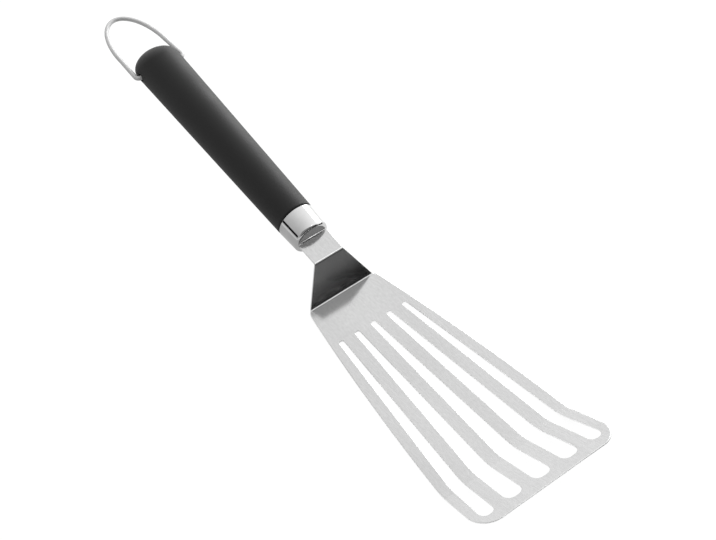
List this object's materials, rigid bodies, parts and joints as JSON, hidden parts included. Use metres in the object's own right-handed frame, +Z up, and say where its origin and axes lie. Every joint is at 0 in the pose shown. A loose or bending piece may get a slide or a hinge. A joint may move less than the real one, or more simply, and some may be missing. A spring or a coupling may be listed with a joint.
{
  "type": "griddle spatula",
  "caption": "Slotted griddle spatula with a cranked steel blade whose tip bends up, a polished ferrule, a round soft grip and a swinging wire hanging loop.",
  "frame": {"origin": "on the blade's underside, in the middle of the solid pad between the heel and the slots", "axes": "+X along the blade to its tip, +Y to its left, +Z up off the underside"},
  "size_m": [0.4184, 0.0932, 0.0661],
  "materials": {
    "satin_steel": "satin",
    "polished_steel": "polished",
    "plain_steel": "plain",
    "hard_nylon": "matte",
    "soft_black": "soft touch"
  },
  "bodies": {
    "spatula": {"blade": "satin_steel", "ferrule": "polished_steel", "handle_core": "hard_nylon", "grip_sleeve": "soft_black", "tang_pin_front": "plain_steel", "tang_pin_rear": "plain_steel"},
    "loop": {"hanging_loop": "polished_steel"}
  },
  "joints": [
    {"name": "loop_swing", "type": "hinge", "parent": "spatula", "child": "loop", "pos_m": [-0.19571, 0, 0.05173], "axis": [0, 1, 0], "range_deg": [-155, 168]}
  ]
}
